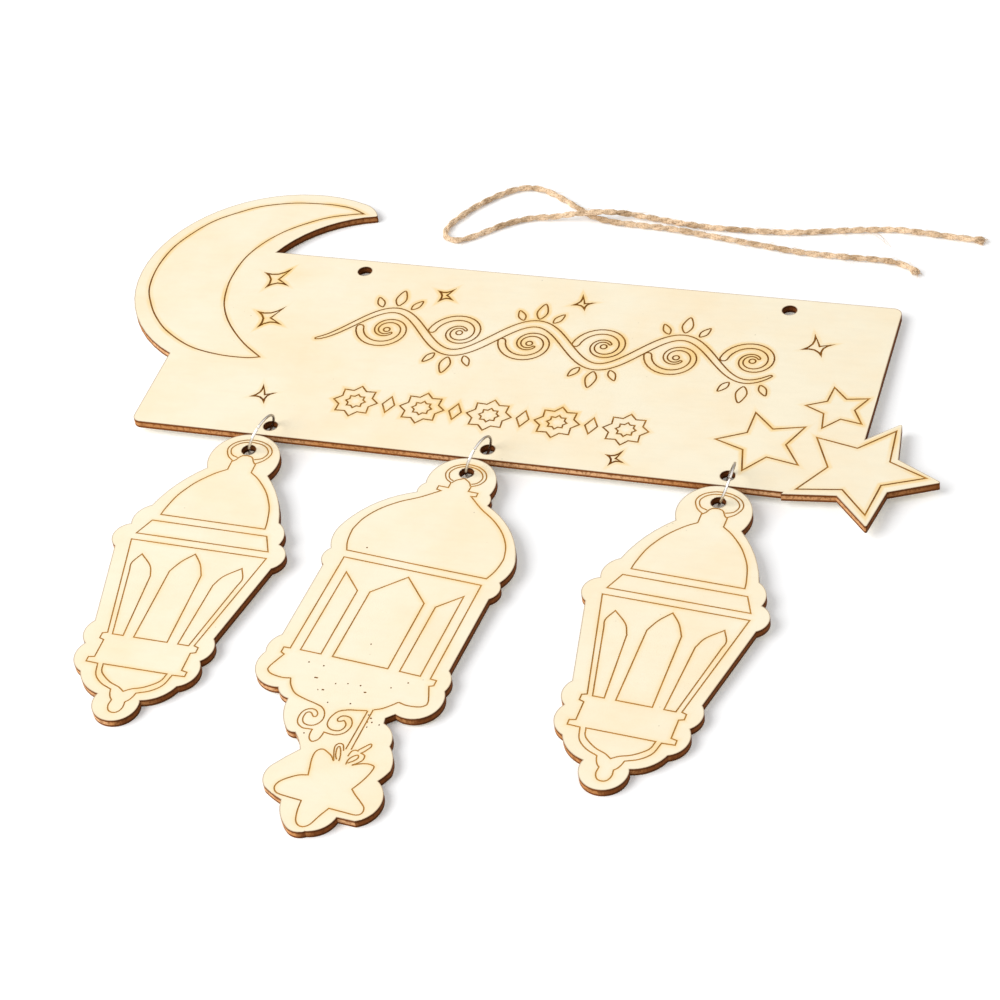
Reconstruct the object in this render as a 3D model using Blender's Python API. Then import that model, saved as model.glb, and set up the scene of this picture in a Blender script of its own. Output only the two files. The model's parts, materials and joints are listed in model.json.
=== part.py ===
"""A laser-cut plywood hanging ornament, lying face up as it was laid down.

A plaque with a crescent and a star in its outline carries three fanous lantern pendants.
Each pendant hangs on an open wire jump ring that passes through a hole in the plaque and a
hole in the lantern's head. The ring's lower bow lies under the boards, so it lifts them a
little where they meet, and the boards slope down from there to their far ends. The twine
for hanging lies folded once behind the plaque.

Lengths below are millimetres and are turned to metres where a mesh is made.
On the plaque, x runs along the bottom edge from its left corner, and y runs to the top.
On a lantern, the middle of its hole is zero, and its body lies towards -y.
"""

import math

import bmesh
import bpy
from mathutils import Matrix, Vector

MM = 0.001

# Sheet
PLY = 2.75

# Plaque
PLAQUE_WIDTH = 240.0
PLAQUE_HEIGHT = 95.0
PLAQUE_CORNER = 3.0
CORD_HOLE_RADIUS = 2.5
CORD_HOLE_FROM_LEFT = 52.8
CORD_HOLE_FROM_RIGHT = 37.0
CORD_HOLES_FROM_TOP = 6.0
RING_HOLE_RADIUS = 2.4
RING_HOLE_FROM_EDGE = 4.7

# Crescent: an outer circle that tightens towards its upper horn, and the circle that bites into it
MOON_CENTRE = (23.0, PLAQUE_HEIGHT - 15.0)
MOON_RADIUS = 50.0
MOON_HORN_STARTS = 69.0
MOON_HORN_RADIUS = 11.0
BITE_CENTRE = (57.0, PLAQUE_HEIGHT - 16.0)
BITE_RADIUS = 42.6
MOON_TIP_RADIUS = 0.5

# Five-pointed star that stands out of the plaque's lower right corner
STAR_CENTRE = (PLAQUE_WIDTH + 1.0, 13.3)
STAR_RADIUS = 26.0
STAR_WAIST = 13.2
STAR_TURN = -2.6
STAR_TIP_RADIUS = 0.5

# Jump rings
RING_RADIUS = 7.2
WIRE_RADIUS = 0.45
RING_SPLIT = 0.35
RING_SPLIT_AT = 118.0
FLOOR_CLEARANCE = 0.05

# Pendants: hole in the plaque, hole of the lantern sideways from it, turn, and the ring's lean
EDGE_GAP = 0.35
PENDANTS = {
    "left": {"hole_x": 47.9, "shift": -3.1, "turn": -1.6, "lean": 18.0},
    "middle": {"hole_x": 122.5, "shift": -3.5, "turn": -6.0, "lean": 13.0},
    "right": {"hole_x": 201.2, "shift": -0.1, "turn": -4.2, "lean": 20.0},
}

# Side lantern: head disc, then corners down the right side, each with the rise of its arc
SIDE_HEAD_CENTRE_Y = -4.7
SIDE_HEAD_RADIUS = 12.0
SIDE_HEAD_OPENS = -28.0
SIDE_FLANK = (
    (22.0, -29.9, 1.5),
    (25.5, -39.0, 1.8),
    (26.8, -49.4, 3.3),
    (20.0, -80.9, 0.0),
    (19.2, -90.3, 2.0),
    (16.0, -101.4, 2.8),
    (7.0, -108.9, 1.5),
)
SIDE_KNOB_CENTRE_Y = -111.0
SIDE_KNOB_RADIUS = 7.4

# Middle lantern: head disc, right side down to the star's lobe, then up the left side
MIDDLE_HEAD_CENTRE_Y = -4.7
MIDDLE_HEAD_RADIUS = 11.4
MIDDLE_HEAD_OPENS = -14.0
MIDDLE_OUTLINE = (
    (12.2, -12.1, 0.7),
    (29.9, -32.6, 2.9),
    (28.6, -42.4, 1.0),
    (28.0, -49.7, 1.6),
    (27.7, -80.3, 0.0),
    (29.6, -88.1, 1.3),
    (18.9, -100.5, 6.0),
    (16.7, -102.7, 0.0),
    (17.1, -104.7, 0.0),
    (22.4, -112.4, 1.6),
    (26.3, -120.8, 0.9),
    (24.3, -125.4, 0.2),
    (23.9, -141.0, 4.6),
    (18.3, -141.1, 0.0),
    (11.6, -148.3, 1.6),
    (5.4, -148.3, 1.1),
    (0.0, -139.7, 1.0),
    (-6.9, -136.6, 0.2),
    (-8.4, -128.6, 1.4),
    (-2.8, -120.7, 0.2),
    (-7.0, -115.1, -0.3),
    (-10.1, -114.6, 0.4),
    (-14.8, -103.6, 1.2),
    (-19.6, -100.3, 0.8),
    (-29.6, -88.1, 5.0),
    (-27.7, -80.3, 1.3),
    (-28.0, -49.7, 0.0),
    (-28.6, -42.4, 1.6),
    (-29.9, -32.6, 1.0),
    (-12.2, -12.1, 2.9),
)

# Hanging twine, 2.3 mm thick: its way along the floor, and the height of its middle
CORD_RADIUS = 1.15
CORD_ROUTE = (
    (259.8, 137.5, 1.2),
    (247.2, 138.4, 1.2),
    (229.9, 139.5, 1.2),
    (213.1, 137.0, 1.2),
    (196.0, 133.6, 1.2),
    (180.0, 132.4, 1.2),
    (162.0, 132.6, 1.2),
    (146.0, 134.4, 1.3),
    (136.0, 134.7, 2.2),
    (129.5, 133.4, 3.4),
    (123.6, 131.7, 4.0),
    (116.8, 130.8, 3.2),
    (109.5, 130.1, 1.8),
    (101.5, 128.9, 1.2),
    (94.0, 124.9, 1.2),
    (87.0, 118.8, 1.2),
    (81.6, 114.4, 1.2),
    (77.2, 113.2, 1.2),
    (73.9, 115.4, 1.2),
    (73.4, 119.6, 1.2),
    (75.3, 125.0, 1.2),
    (80.0, 132.9, 1.2),
    (87.2, 141.2, 1.2),
    (94.4, 145.7, 1.2),
    (102.0, 145.4, 1.2),
    (110.6, 140.9, 1.2),
    (117.4, 136.4, 1.2),
    (123.6, 132.8, 1.2),
    (130.5, 130.9, 1.2),
    (141.0, 130.2, 1.2),
    (153.0, 129.6, 1.2),
    (167.8, 127.5, 1.2),
    (184.0, 125.1, 1.2),
    (201.0, 122.9, 1.2),
    (217.0, 122.6, 1.2),
    (229.0, 122.4, 1.2),
    (236.5, 120.5, 1.2),
    (240.9, 117.0, 1.2),
)
CORD_POINT_COUNT = 76

# Fineness of the round shapes
ARC_STEP = 6.0
HOLE_SIDES = 28
RING_STEPS = 54
WIRE_SIDES = 10


def clear_scene():
    """Remove whatever the opened file holds."""
    for thing in list(bpy.data.objects):
        bpy.data.objects.remove(thing, do_unlink=True)


def finish_material(name, colour, roughness, metallic):
    """Return a plain material with the given linear colour."""
    material = bpy.data.materials.new(name)
    material.use_nodes = True
    shader = material.node_tree.nodes["Principled BSDF"]
    shader.inputs["Base Color"].default_value = (*colour, 1.0)
    shader.inputs["Roughness"].default_value = roughness
    shader.inputs["Metallic"].default_value = metallic
    return material


def polar(centre, radius, degrees):
    """Return the point at an angle on a circle."""
    angle = math.radians(degrees)
    return (centre[0] + radius * math.cos(angle), centre[1] + radius * math.sin(angle))


def heading(centre, point):
    """Return the angle in degrees at which a point is seen from a centre."""
    return math.degrees(math.atan2(point[1] - centre[1], point[0] - centre[0]))


def arc(centre, radius, start, end):
    """Return points along a circle from one angle to another, both included."""
    steps = max(2, math.ceil(abs(end - start) / ARC_STEP))
    return [polar(centre, radius, start + (end - start) * k / steps) for k in range(steps + 1)]


def bow(start, end, rise):
    """Return the points after start on the arc to end that rises to the left of the way."""
    if rise == 0.0:
        return [end]
    chord = Vector((end[0] - start[0], end[1] - start[1]))
    left = Vector((-chord.y, chord.x)).normalized()
    radius = ((chord.length / 2) ** 2 + rise**2) / (2 * rise)
    middle = Vector(start) + chord / 2
    centre = middle - left * (radius - rise)
    sweep = math.degrees(4 * math.atan(2 * rise / chord.length))
    first = heading(centre, start)
    return arc(centre, abs(radius), first, first - sweep)[1:-1] + [end]


def rounded(before, corner, after, radius):
    """Return the arc that rounds a corner between two straight edges."""
    corner = Vector(corner)
    back = (Vector(before) - corner).normalized()
    ahead = (Vector(after) - corner).normalized()
    half = back.angle(ahead) / 2
    reach = radius / math.tan(half)
    centre = corner + (back + ahead).normalized() * (radius / math.sin(half))
    first = heading(centre, corner + back * reach)
    last = heading(centre, corner + ahead * reach)
    turn = (last - first + 180) % 360 - 180
    return arc(centre, radius, first, first + turn)


def circles_meet(centre_a, radius_a, centre_b, radius_b):
    """Return the upper of the two points where two circles cross."""
    a = Vector(centre_a)
    way = Vector(centre_b) - a
    gap = way.length
    along = (radius_a**2 - radius_b**2 + gap**2) / (2 * gap)
    across = math.sqrt(radius_a**2 - along**2)
    unit = way / gap
    return a + unit * along + Vector((-unit.y, unit.x)) * across


def edge_at(start, end, axis, level):
    """Return the point of a straight edge where its x (axis 0) or its y (axis 1) has the given level."""
    share = (level - start[axis]) / (end[axis] - start[axis])
    return (start[0] + (end[0] - start[0]) * share, start[1] + (end[1] - start[1]) * share)


def star_corner(number):
    """Return a corner of the cut star: even ones are tips, odd ones lie at the waist."""
    radius = STAR_RADIUS if number % 2 == 0 else STAR_WAIST
    return polar(STAR_CENTRE, radius, STAR_TURN + 36 * number)


def plaque_outline():
    """Return the plaque's outline, clockwise from its lower left corner."""
    corner = PLAQUE_CORNER
    points = arc((corner, corner), corner, 270, 180)

    across = MOON_CENTRE[0]
    left_meeting = (0.0, MOON_CENTRE[1] - math.sqrt(MOON_RADIUS**2 - across**2))
    horn = polar(MOON_CENTRE, MOON_RADIUS - MOON_HORN_RADIUS, MOON_HORN_STARTS)
    tip = circles_meet(
        horn, MOON_HORN_RADIUS - MOON_TIP_RADIUS, BITE_CENTRE, BITE_RADIUS + MOON_TIP_RADIUS
    )
    horn_end = heading(horn, tip)
    points += arc(MOON_CENTRE, MOON_RADIUS, heading(MOON_CENTRE, left_meeting) + 360, MOON_HORN_STARTS)
    points += arc(horn, MOON_HORN_RADIUS, MOON_HORN_STARTS, horn_end)[1:]
    points += arc(tip, MOON_TIP_RADIUS, horn_end, heading(tip, BITE_CENTRE))[1:-1]

    above = PLAQUE_HEIGHT - BITE_CENTRE[1]
    top_meeting = (BITE_CENTRE[0] - math.sqrt(BITE_RADIUS**2 - above**2), PLAQUE_HEIGHT)
    points += arc(BITE_CENTRE, BITE_RADIUS, heading(BITE_CENTRE, tip), heading(BITE_CENTRE, top_meeting))

    points += arc((PLAQUE_WIDTH - corner, PLAQUE_HEIGHT - corner), corner, 90, 0)
    points.append(edge_at(star_corner(3), star_corner(2), 0, PLAQUE_WIDTH))
    for number in (2, 0, -2):
        points += rounded(
            star_corner(number + 1), star_corner(number), star_corner(number - 1), STAR_TIP_RADIUS
        )
        points.append(star_corner(number - 1))
    points.append(star_corner(-4))
    points.append(edge_at(star_corner(-4), star_corner(-5), 1, 0.0))
    return points


def side_lantern_outline():
    """Return the outline that the left and right lanterns share, clockwise."""
    head = (0.0, SIDE_HEAD_CENTRE_Y)
    knob = (0.0, SIDE_KNOB_CENTRE_Y)
    flank = []
    last = polar(head, SIDE_HEAD_RADIUS, SIDE_HEAD_OPENS)
    for x, y, rise in SIDE_FLANK:
        flank += bow(last, (x, y), rise)
        last = (x, y)
    knob_start = heading(knob, last)
    points = arc(head, SIDE_HEAD_RADIUS, 180 - SIDE_HEAD_OPENS, SIDE_HEAD_OPENS)
    points += flank
    points += arc(knob, SIDE_KNOB_RADIUS, knob_start, -180 - knob_start)[1:-1]
    points += [(-x, y) for x, y in reversed(flank)]
    return points


def middle_lantern_outline():
    """Return the middle lantern's outline, clockwise, with the star hung off its middle."""
    head = (0.0, MIDDLE_HEAD_CENTRE_Y)
    points = arc(head, MIDDLE_HEAD_RADIUS, 180 - MIDDLE_HEAD_OPENS, MIDDLE_HEAD_OPENS)
    last = points[-1]
    for x, y, rise in MIDDLE_OUTLINE:
        points += bow(last, (x, y), rise)
        last = (x, y)
    points += bow(last, points[0], 0.7)[:-1]
    return points


LANTERNS = {
    "left": (side_lantern_outline, SIDE_HEAD_CENTRE_Y + SIDE_HEAD_RADIUS),
    "middle": (middle_lantern_outline, MIDDLE_HEAD_CENTRE_Y + MIDDLE_HEAD_RADIUS),
    "right": (side_lantern_outline, SIDE_HEAD_CENTRE_Y + SIDE_HEAD_RADIUS),
}


def hole_outline(centre, radius):
    """Return a round hole's outline."""
    return [polar(centre, radius, 360 * k / HOLE_SIDES) for k in range(HOLE_SIDES)]


def cut_board(name, outlines, material):
    """Cut a board from the sheet: the first outline is its edge and the others are holes."""
    bm = bmesh.new()
    for outline in outlines:
        corners = [bm.verts.new((x * MM, y * MM, -PLY / 2 * MM)) for x, y in outline]
        for k, corner in enumerate(corners):
            bm.edges.new((corner, corners[(k + 1) % len(corners)]))
    bmesh.ops.triangle_fill(bm, edges=bm.edges[:], use_beauty=True)
    raised = bmesh.ops.extrude_face_region(bm, geom=bm.faces[:])["geom"]
    top = [item for item in raised if isinstance(item, bmesh.types.BMVert)]
    bmesh.ops.translate(bm, verts=top, vec=(0, 0, PLY * MM))
    bmesh.ops.recalc_face_normals(bm, faces=bm.faces[:])
    return place_mesh(name, bm, material)


def bend_ring(name, material):
    """Bend an open ring of round wire about the x axis, with flat ends that nearly meet."""
    bm = bmesh.new()
    split = math.degrees(RING_SPLIT / RING_RADIUS)
    start = math.radians(RING_SPLIT_AT + split / 2)
    section = bmesh.ops.create_circle(bm, segments=WIRE_SIDES, radius=WIRE_RADIUS * MM, cap_ends=True)
    turn = Matrix.Rotation(start, 4, "X") @ Matrix.Translation((0, RING_RADIUS * MM, 0))
    bmesh.ops.transform(bm, matrix=turn, verts=section["verts"])
    bmesh.ops.spin(
        bm,
        geom=bm.faces[:] + bm.edges[:] + bm.verts[:],
        cent=(0, 0, 0),
        axis=(1, 0, 0),
        angle=math.radians(360 - split),
        steps=RING_STEPS,
        use_duplicate=False,
    )
    bmesh.ops.recalc_face_normals(bm, faces=bm.faces[:])
    ring = place_mesh(name, bm, material)
    ring.data.shade_smooth()
    ring.data.set_sharp_from_angle(angle=math.radians(40))
    return ring


def place_mesh(name, bm, material):
    """Turn a bmesh into a named object in the scene."""
    mesh = bpy.data.meshes.new(name)
    bm.to_mesh(mesh)
    bm.free()
    mesh.materials.append(material)
    thing = bpy.data.objects.new(name, mesh)
    bpy.context.scene.collection.objects.link(thing)
    return thing


def smooth_route(route, count):
    """Return evenly spaced points on a smooth curve through a route's points."""
    knots = [Vector(point) for point in route]
    knots = [2 * knots[0] - knots[1]] + knots + [2 * knots[-1] - knots[-2]]
    fine = []
    parts = 16
    for a, b, c, d in zip(knots, knots[1:], knots[2:], knots[3:]):
        for k in range(parts):
            t = k / parts
            slope_in, slope_out = (c - a) / 2, (d - b) / 2
            fine.append(
                (2 * t**3 - 3 * t**2 + 1) * b
                + (t**3 - 2 * t**2 + t) * slope_in
                + (3 * t**2 - 2 * t**3) * c
                + (t**3 - t**2) * slope_out
            )
    fine.append(knots[-2])
    walked = [0.0]
    for p, q in zip(fine, fine[1:]):
        walked.append(walked[-1] + (q - p).length)
    points = []
    place = 0
    for k in range(count):
        goal = walked[-1] * k / (count - 1)
        while place < len(fine) - 2 and walked[place + 1] < goal:
            place += 1
        share = (goal - walked[place]) / (walked[place + 1] - walked[place])
        points.append(fine[place].lerp(fine[place + 1], min(share, 1.0)))
    return points


def lay_cord(name, material):
    """Lay the twine along its route as a round tube with closed ends."""
    curve = bpy.data.curves.new(name, "CURVE")
    curve.dimensions = "3D"
    curve.bevel_depth = CORD_RADIUS * MM
    curve.bevel_resolution = 2
    curve.use_fill_caps = True
    spline = curve.splines.new("POLY")
    points = smooth_route(CORD_ROUTE, CORD_POINT_COUNT)
    spline.points.add(len(points) - 1)
    for slot, point in zip(spline.points, points):
        slot.co = (*(point * MM), 1.0)
    curve.materials.append(material)
    cord = bpy.data.objects.new(name, curve)
    bpy.context.scene.collection.objects.link(cord)
    return cord


def ring_pose(plaque_point, lantern_point, lean):
    """Return a ring's matrix from the two points where its wire crosses the boards."""
    way = plaque_point - lantern_point
    along = way.normalized()
    upright = (Vector((0, 0, 1)) - along * along.z).normalized()
    side = along.cross(upright)
    rise = upright * math.cos(lean) + side * math.sin(lean)
    height = math.sqrt(RING_RADIUS**2 - (way.length / 2) ** 2)
    centre = lantern_point + way / 2 + rise * height
    turn = Matrix((along.cross(rise), along, rise)).transposed().to_4x4()
    return Matrix.Translation(centre) @ turn


def board_lift():
    """Return how far the ring that hangs lowest under its boards lifts them off the floor."""
    lifts = []
    for side, pendant in PENDANTS.items():
        across = abs(pendant["shift"])
        along = RING_HOLE_FROM_EDGE + EDGE_GAP + LANTERNS[side][1]
        height = math.sqrt(RING_RADIUS**2 - (across**2 + along**2) / 4)
        lean = math.radians(pendant["lean"])
        lifts.append((RING_RADIUS - height) * math.cos(lean) + WIRE_RADIUS - PLY / 2)
    return max(lifts) + FLOOR_CLEARANCE


def plaque_pose(lift):
    """Return the plaque's matrix: its crescent's top rests on the floor, its front on the rings."""
    far = MOON_CENTRE[1] + MOON_RADIUS
    slope = Matrix.Rotation(-math.asin(lift / far), 4, "X")
    return Matrix.Translation((0, 0, lift)) @ slope @ Matrix.Translation((0, 0, PLY / 2))


def lantern_pose(side, outline, lift):
    """Return a lantern's matrix: its head rests on the ring and its tail on the floor."""
    pendant = PENDANTS[side]
    turn = Matrix.Rotation(math.radians(pendant["turn"]), 4, "Z")
    tail = min((turn @ Vector((x, y, 0))).y for x, y in outline)
    slope = Matrix.Rotation(math.asin(lift / -tail), 4, "X")
    hole = (pendant["hole_x"] + pendant["shift"], -EDGE_GAP - LANTERNS[side][1], lift)
    return Matrix.Translation(hole) @ slope @ turn @ Matrix.Translation((0, 0, PLY / 2))


def set_pose(thing, pose, parent):
    """Place an object by a matrix in millimetres and hang it on its parent."""
    matrix = pose.copy()
    matrix.translation *= MM
    thing.matrix_world = matrix
    bpy.context.view_layer.update()
    thing.parent = parent
    thing.matrix_parent_inverse = parent.matrix_world.inverted()


def centre_on_origin(frame, pieces):
    """Move the whole ornament so that the origin lies below the middle of its pieces."""
    bpy.context.view_layer.update()
    corners = [piece.matrix_world @ Vector(corner.co) for piece in pieces for corner in piece.data.vertices]
    low = [min(corner[axis] for corner in corners) for axis in range(3)]
    high = [max(corner[axis] for corner in corners) for axis in range(3)]
    frame.location = (-(low[0] + high[0]) / 2, -(low[1] + high[1]) / 2, -low[2])


def main():
    clear_scene()
    plywood = finish_material("basswood_plywood", (0.97, 0.87, 0.66), 0.6, 0.0)
    wire = finish_material("nickel_wire", (0.72, 0.72, 0.73), 0.25, 1.0)
    twine = finish_material("jute_twine", (0.55, 0.36, 0.19), 0.9, 0.0)

    frame = bpy.data.objects.new("ornament", None)
    bpy.context.scene.collection.objects.link(frame)
    lift = board_lift()

    holes = [
        hole_outline((x, PLAQUE_HEIGHT - CORD_HOLES_FROM_TOP), CORD_HOLE_RADIUS)
        for x in (CORD_HOLE_FROM_LEFT, PLAQUE_WIDTH - CORD_HOLE_FROM_RIGHT)
    ]
    holes += [
        hole_outline((pendant["hole_x"], RING_HOLE_FROM_EDGE), RING_HOLE_RADIUS)
        for pendant in PENDANTS.values()
    ]
    plaque = cut_board("plaque", [plaque_outline()] + holes, plywood)
    plaque_place = plaque_pose(lift)
    set_pose(plaque, plaque_place, frame)
    pieces = [plaque]

    for side, pendant in PENDANTS.items():
        outline = LANTERNS[side][0]()
        lantern_place = lantern_pose(side, outline, lift)
        in_plaque = plaque_place @ Vector((pendant["hole_x"], RING_HOLE_FROM_EDGE, 0))
        ring = bend_ring(side + "_jump_ring", wire)
        ring_place = ring_pose(in_plaque, lantern_place.translation, math.radians(pendant["lean"]))
        set_pose(ring, ring_place, plaque)
        hole = hole_outline((0, 0), RING_HOLE_RADIUS)
        lantern = cut_board(side + "_lantern", [outline, hole], plywood)
        set_pose(lantern, lantern_place, ring)
        pieces += [ring, lantern]

    cord = lay_cord("hanging_cord", twine)
    cord.parent = frame
    centre_on_origin(frame, pieces)


main()
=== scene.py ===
"""Finishes a plywood hanging ornament: engraved boards with charred edges, wire rings and jute twine.

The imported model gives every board's outline and place, and the places of the holes and rings.
This script cuts the engraved lines into the boards, twists the twine and lays out the stage.
Drawings are in millimetres on a board's own plane. On the plaque, x runs along the bottom
edge from its left corner and y to the top. On a lantern, the hole is at zero.
"""

import json
import math
import random
from collections import namedtuple

import bmesh
import bpy
from mathutils import Matrix, Vector
from mathutils.geometry import delaunay_2d_cdt
from mathutils.kdtree import KDTree


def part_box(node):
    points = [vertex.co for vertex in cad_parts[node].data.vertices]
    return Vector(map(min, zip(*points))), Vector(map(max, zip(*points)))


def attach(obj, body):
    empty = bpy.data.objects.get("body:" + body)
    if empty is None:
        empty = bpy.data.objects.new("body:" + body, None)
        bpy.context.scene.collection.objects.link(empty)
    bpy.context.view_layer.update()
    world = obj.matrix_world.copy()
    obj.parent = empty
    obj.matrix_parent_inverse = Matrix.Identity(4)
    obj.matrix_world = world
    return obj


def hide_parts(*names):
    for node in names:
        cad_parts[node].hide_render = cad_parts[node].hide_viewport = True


bl_info = {
    "name": "Plywood Hanging Ornament",
    "version": (1, 0, 0),
    "blender": (4, 5, 0),
    "location": "View3D > Sidebar > Ornament",
    "description": "Engraves the boards, twists the twine and lights a plywood hanging ornament",
    "category": "Object",
}

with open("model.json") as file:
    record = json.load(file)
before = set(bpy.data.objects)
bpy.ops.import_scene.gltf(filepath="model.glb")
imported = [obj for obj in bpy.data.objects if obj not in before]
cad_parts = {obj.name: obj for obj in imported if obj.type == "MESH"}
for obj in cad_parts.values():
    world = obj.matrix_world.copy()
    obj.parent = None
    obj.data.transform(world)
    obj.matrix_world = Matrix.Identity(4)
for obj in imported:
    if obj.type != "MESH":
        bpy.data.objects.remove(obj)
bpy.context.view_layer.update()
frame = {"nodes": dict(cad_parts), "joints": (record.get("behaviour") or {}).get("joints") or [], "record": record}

MM = 0.001

# The sheet's thickness, and the point of the plaque's back that the record's mount names, in millimetres
PLY = 2.75
MOUNT_AT = (120.0, 48.0)

# Turn of each lantern on the table, in degrees
LANTERN_TURNS = {"left": -1.6, "middle": -6.0, "right": -4.2}

# One pass of the laser: its strokes, the width of their lines in millimetres, its strength from 0 to 1,
# and whether it leaves a haze beside them
Pass = namedtuple("Pass", "strokes width strength hazy")
LINE_STRENGTH = 0.85
FAINT_STRENGTH = 0.4
FULL_STRENGTH = 1.0

# Places of two of a board's finishes in its list, which starts with its face
GROOVE = 1
EDGE = 2

# Width of the sparkles' lines as a share of the plaque's other lines, and of a speck in millimetres
SPARKLE_SHARE = 1.25
SPECK_WIDTH = 0.5

# Spacing of the points on a drawn curve and on a small curl, in millimetres
STEP = 0.9
CURL_STEP = 0.6

# Gap between the table and the twine's solid, in metres
TWINE_GAP = 0.00005

# Twine's way along the table, in metres from the plaque's lower left corner
CORD_ROUTE = (
    (0.2598, 0.1375, 0.0012), (0.2472, 0.1384, 0.0012), (0.2299, 0.1395, 0.0012), (0.2131, 0.1370, 0.0012),
    (0.1960, 0.1336, 0.0012), (0.1800, 0.1324, 0.0012), (0.1620, 0.1326, 0.0012), (0.1460, 0.1344, 0.0013),
    (0.1360, 0.1347, 0.0022), (0.1295, 0.1334, 0.0034), (0.1236, 0.1317, 0.0040), (0.1168, 0.1308, 0.0032),
    (0.1095, 0.1301, 0.0018), (0.1015, 0.1289, 0.0012), (0.0940, 0.1249, 0.0012), (0.0870, 0.1188, 0.0012),
    (0.0816, 0.1144, 0.0012), (0.0772, 0.1132, 0.0012), (0.0739, 0.1154, 0.0012), (0.0734, 0.1196, 0.0012),
    (0.0753, 0.1250, 0.0012), (0.0800, 0.1329, 0.0012), (0.0872, 0.1412, 0.0012), (0.0944, 0.1457, 0.0012),
    (0.1020, 0.1454, 0.0012), (0.1106, 0.1409, 0.0012), (0.1174, 0.1364, 0.0012), (0.1236, 0.1328, 0.0012),
    (0.1305, 0.1309, 0.0012), (0.1410, 0.1302, 0.0012), (0.1530, 0.1296, 0.0012), (0.1678, 0.1275, 0.0012),
    (0.1840, 0.1251, 0.0012), (0.2010, 0.1229, 0.0012), (0.2170, 0.1226, 0.0012), (0.2290, 0.1224, 0.0012),
    (0.2365, 0.1205, 0.0012), (0.2409, 0.1170, 0.0012),
)

# Points along the twine, and between two points of its route
TWINE_POINTS = 800
ROUTE_PARTS = 24

# Yarns: a strand's thickness as a share of the twine's, then a core's thickness and a bundle's place
# and thickness as shares of the strand's
STRAND_SHARE = 0.70
CORE_SHARE = 0.70
BUNDLE_REACH = 0.62
BUNDLE_SHARE = 0.36
BUNDLES = 6

# Length in which the twine's ends open, in metres
OPEN_END = 0.0035

# Stray fibres: how many at each end, and in metres the radii along one and its lowest height
END_FIBRES = 14
FIBRE_RADII = (0.00006, 0.00006, 0.00005, 0.00005, 0.00004, 0.00003, 0.00002)
FIBRE_FLOOR = 0.00012

# Long hairs: where they spring from, as a share of the twine's length, and their radius in metres
HAIR_ROOT = 0.108
HAIR_RADIUS = 0.00006

# Camera: metres from the plaque's lower left corner on the table, degrees, and millimetres
CAMERA_PLACE = (0.38199, -0.62522, 0.60833)
CAMERA_TURN = (47.1017, 6.5904, 16.1815)
CAMERA_LENS = 102.31
SENSOR_WIDTH = 36.0
VIEW_DEPTH = 20.0

# Lamp, which looks at the ornament's middle, and how far the table reaches from there, in metres
LAMP_PLACE = (-1.9, -1.15, 2.05)
LAMP_SIZE = 2.5
TABLE_REACH = 4.0

# What every colour setting shares
COLOUR = {"subtype": "COLOR", "min": 0.0, "max": 1.0}


class EngravingSettings(bpy.types.PropertyGroup):
    """Sizes of the burnt lines on the boards."""

    line_width: bpy.props.FloatProperty(
        name="Line Width",
        description="Width of a burnt line on the plaque, in millimetres",
        default=0.56,
        min=0.2,
        max=1.5,
    )
    faint_width: bpy.props.FloatProperty(
        name="Faint Line Width",
        description="Width of a burnt line on the lanterns, in millimetres",
        default=0.46,
        min=0.2,
        max=1.5,
    )
    line_depth: bpy.props.FloatProperty(
        name="Line Depth",
        description="Depth of a burnt line, in millimetres",
        default=0.12,
        min=0.05,
        max=1.0,
    )
    scorch_reach: bpy.props.FloatProperty(
        name="Scorch Reach",
        description="How far the golden haze spreads beside a line, in millimetres",
        default=1.5,
        min=0.1,
        max=3.0,
    )
    rim_width: bpy.props.FloatProperty(
        name="Rim Width",
        description="How far a cut edge darkens the face beside it, in millimetres",
        default=0.42,
        min=0.05,
        max=1.0,
    )


class PlywoodSettings(bpy.types.PropertyGroup):
    """Colours of the sheet, of what the laser burnt, and of the painted shade on the cut edges."""

    face: bpy.props.FloatVectorProperty(
        name="Face",
        description="Colour of the sanded face",
        default=(0.98, 0.885, 0.675),
        **COLOUR,
    )
    face_warm: bpy.props.FloatVectorProperty(
        name="Warm Patches",
        description="Colour of the warmer patches in the face",
        default=(0.985, 0.825, 0.57),
        **COLOUR,
    )
    haze: bpy.props.FloatVectorProperty(
        name="Haze",
        description="Colour that the smoke gives the face beside a burnt line",
        default=(0.96, 0.60, 0.14),
        **COLOUR,
    )
    line: bpy.props.FloatVectorProperty(
        name="Burnt Line",
        description="Colour inside a burnt line",
        default=(0.13, 0.034, 0.003),
        **COLOUR,
    )
    line_light: bpy.props.FloatVectorProperty(
        name="Faint Line",
        description="Colour inside a line that was burnt faintly, as on the lanterns",
        default=(0.57, 0.28, 0.053),
        **COLOUR,
    )
    rim: bpy.props.FloatVectorProperty(
        name="Rim",
        description="Colour of the face right beside a cut edge",
        default=(0.37, 0.24, 0.14),
        **COLOUR,
    )
    char: bpy.props.FloatVectorProperty(
        name="Char",
        description="Colour of the fully charred edge",
        default=(0.19, 0.052, 0.006),
        **COLOUR,
    )
    core_light: bpy.props.FloatVectorProperty(
        name="Light Core",
        description="Colour of the middle ply where the laser passed quickly",
        default=(0.84, 0.48, 0.24),
        **COLOUR,
    )
    core: bpy.props.FloatVectorProperty(
        name="Core",
        description="Usual colour of the lightly burnt middle ply",
        default=(0.66, 0.30, 0.105),
        **COLOUR,
    )
    # Painted shade and real sooty patches: right-facing cut faces and hole walls take this colour
    shade_and_soot: bpy.props.FloatVectorProperty(
        name="Soot",
        description="Colour of the middle ply where the smoke was drawn along it",
        default=(0.22, 0.065, 0.014),
        **COLOUR,
    )


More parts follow.
